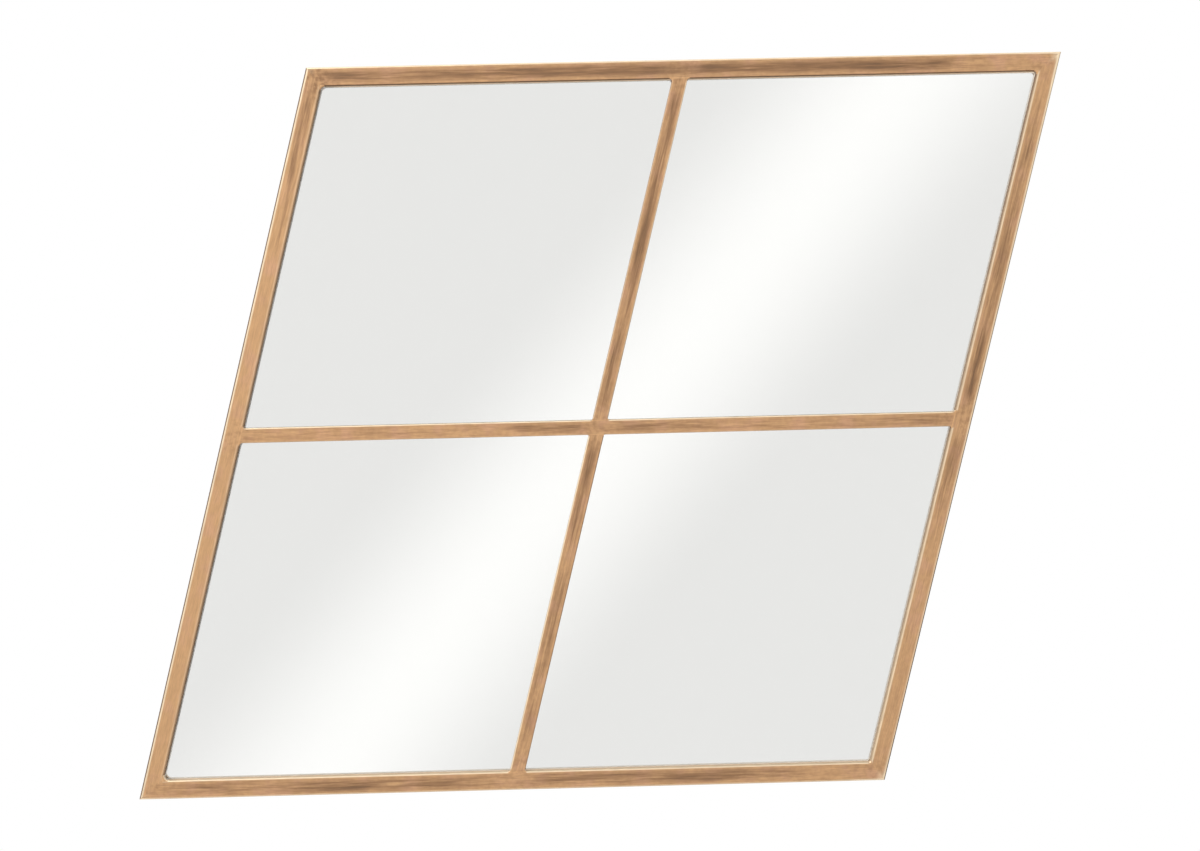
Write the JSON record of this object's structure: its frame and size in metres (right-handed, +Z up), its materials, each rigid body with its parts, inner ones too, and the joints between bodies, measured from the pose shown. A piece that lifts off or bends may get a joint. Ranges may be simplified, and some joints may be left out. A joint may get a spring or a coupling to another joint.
{
  "type": "wall mirror",
  "caption": "Rhombus wall mirror that leans to the right: welded square-tube frame with a flat-bar cross over one sheet of mirror glass, hung by swinging rings.",
  "frame": {"origin": "on the wall plane, behind the middle of the mirror", "axes": "+X along the rails to the right seen from the front, +Y into the wall, +Z up"},
  "size_m": [0.9534, 0.022, 0.7376],
  "materials": {
    "antique_gold": "brushed antique gold paint with a darker brown patina, satin",
    "mirror": "clear float glass silvered on the back",
    "foam": "white foam tape",
    "board": "bare fibreboard",
    "zinc_steel": "bright zinc plate",
    "pad_rubber": "soft grey rubber"
  },
  "bodies": {
    "mirror": {"backing_board": "board", "bar_end_welds": "antique_gold", "bottom_rail": "antique_gold", "bottom_tab_1": "antique_gold", "bottom_tab_2": "antique_gold", "corner_welds": "antique_gold", "crossbar": "antique_gold", "crossing_welds": "antique_gold", "foam_tape_strips": "foam", "left_hanger_strap": "zinc_steel", "left_stile": "antique_gold", "left_tab_1": "antique_gold", "left_tab_2": "antique_gold", "lower_left_pad": "pad_rubber", "lower_right_pad": "pad_rubber", "lower_upright_bar": "antique_gold", "mirror_glass": "mirror", "right_hanger_strap": "zinc_steel", "right_stile": "antique_gold", "right_tab_1": "antique_gold", "right_tab_2": "antique_gold", "strap_screws": "zinc_steel", "tab_screws": "zinc_steel", "top_rail": "antique_gold", "top_tab_1": "antique_gold", "top_tab_2": "antique_gold", "upper_left_pad": "pad_rubber", "upper_right_pad": "pad_rubber", "upper_upright_bar": "antique_gold"},
    "left_ring": {"left_hanger_ring": "zinc_steel"},
    "right_ring": {"right_hanger_ring": "zinc_steel"}
  },
  "joints": [
    {"name": "left_ring_swing", "type": "hinge", "parent": "mirror", "child": "left_ring", "pos_m": [-0.23135, -0.004, 0.26978], "axis": [1, 0, 0], "range_deg": [0, 180]},
    {"name": "right_ring_swing", "type": "hinge", "parent": "mirror", "child": "right_ring", "pos_m": [0.23135, -0.004, 0.26978], "axis": [1, 0, 0], "range_deg": [0, 180]}
  ]
}
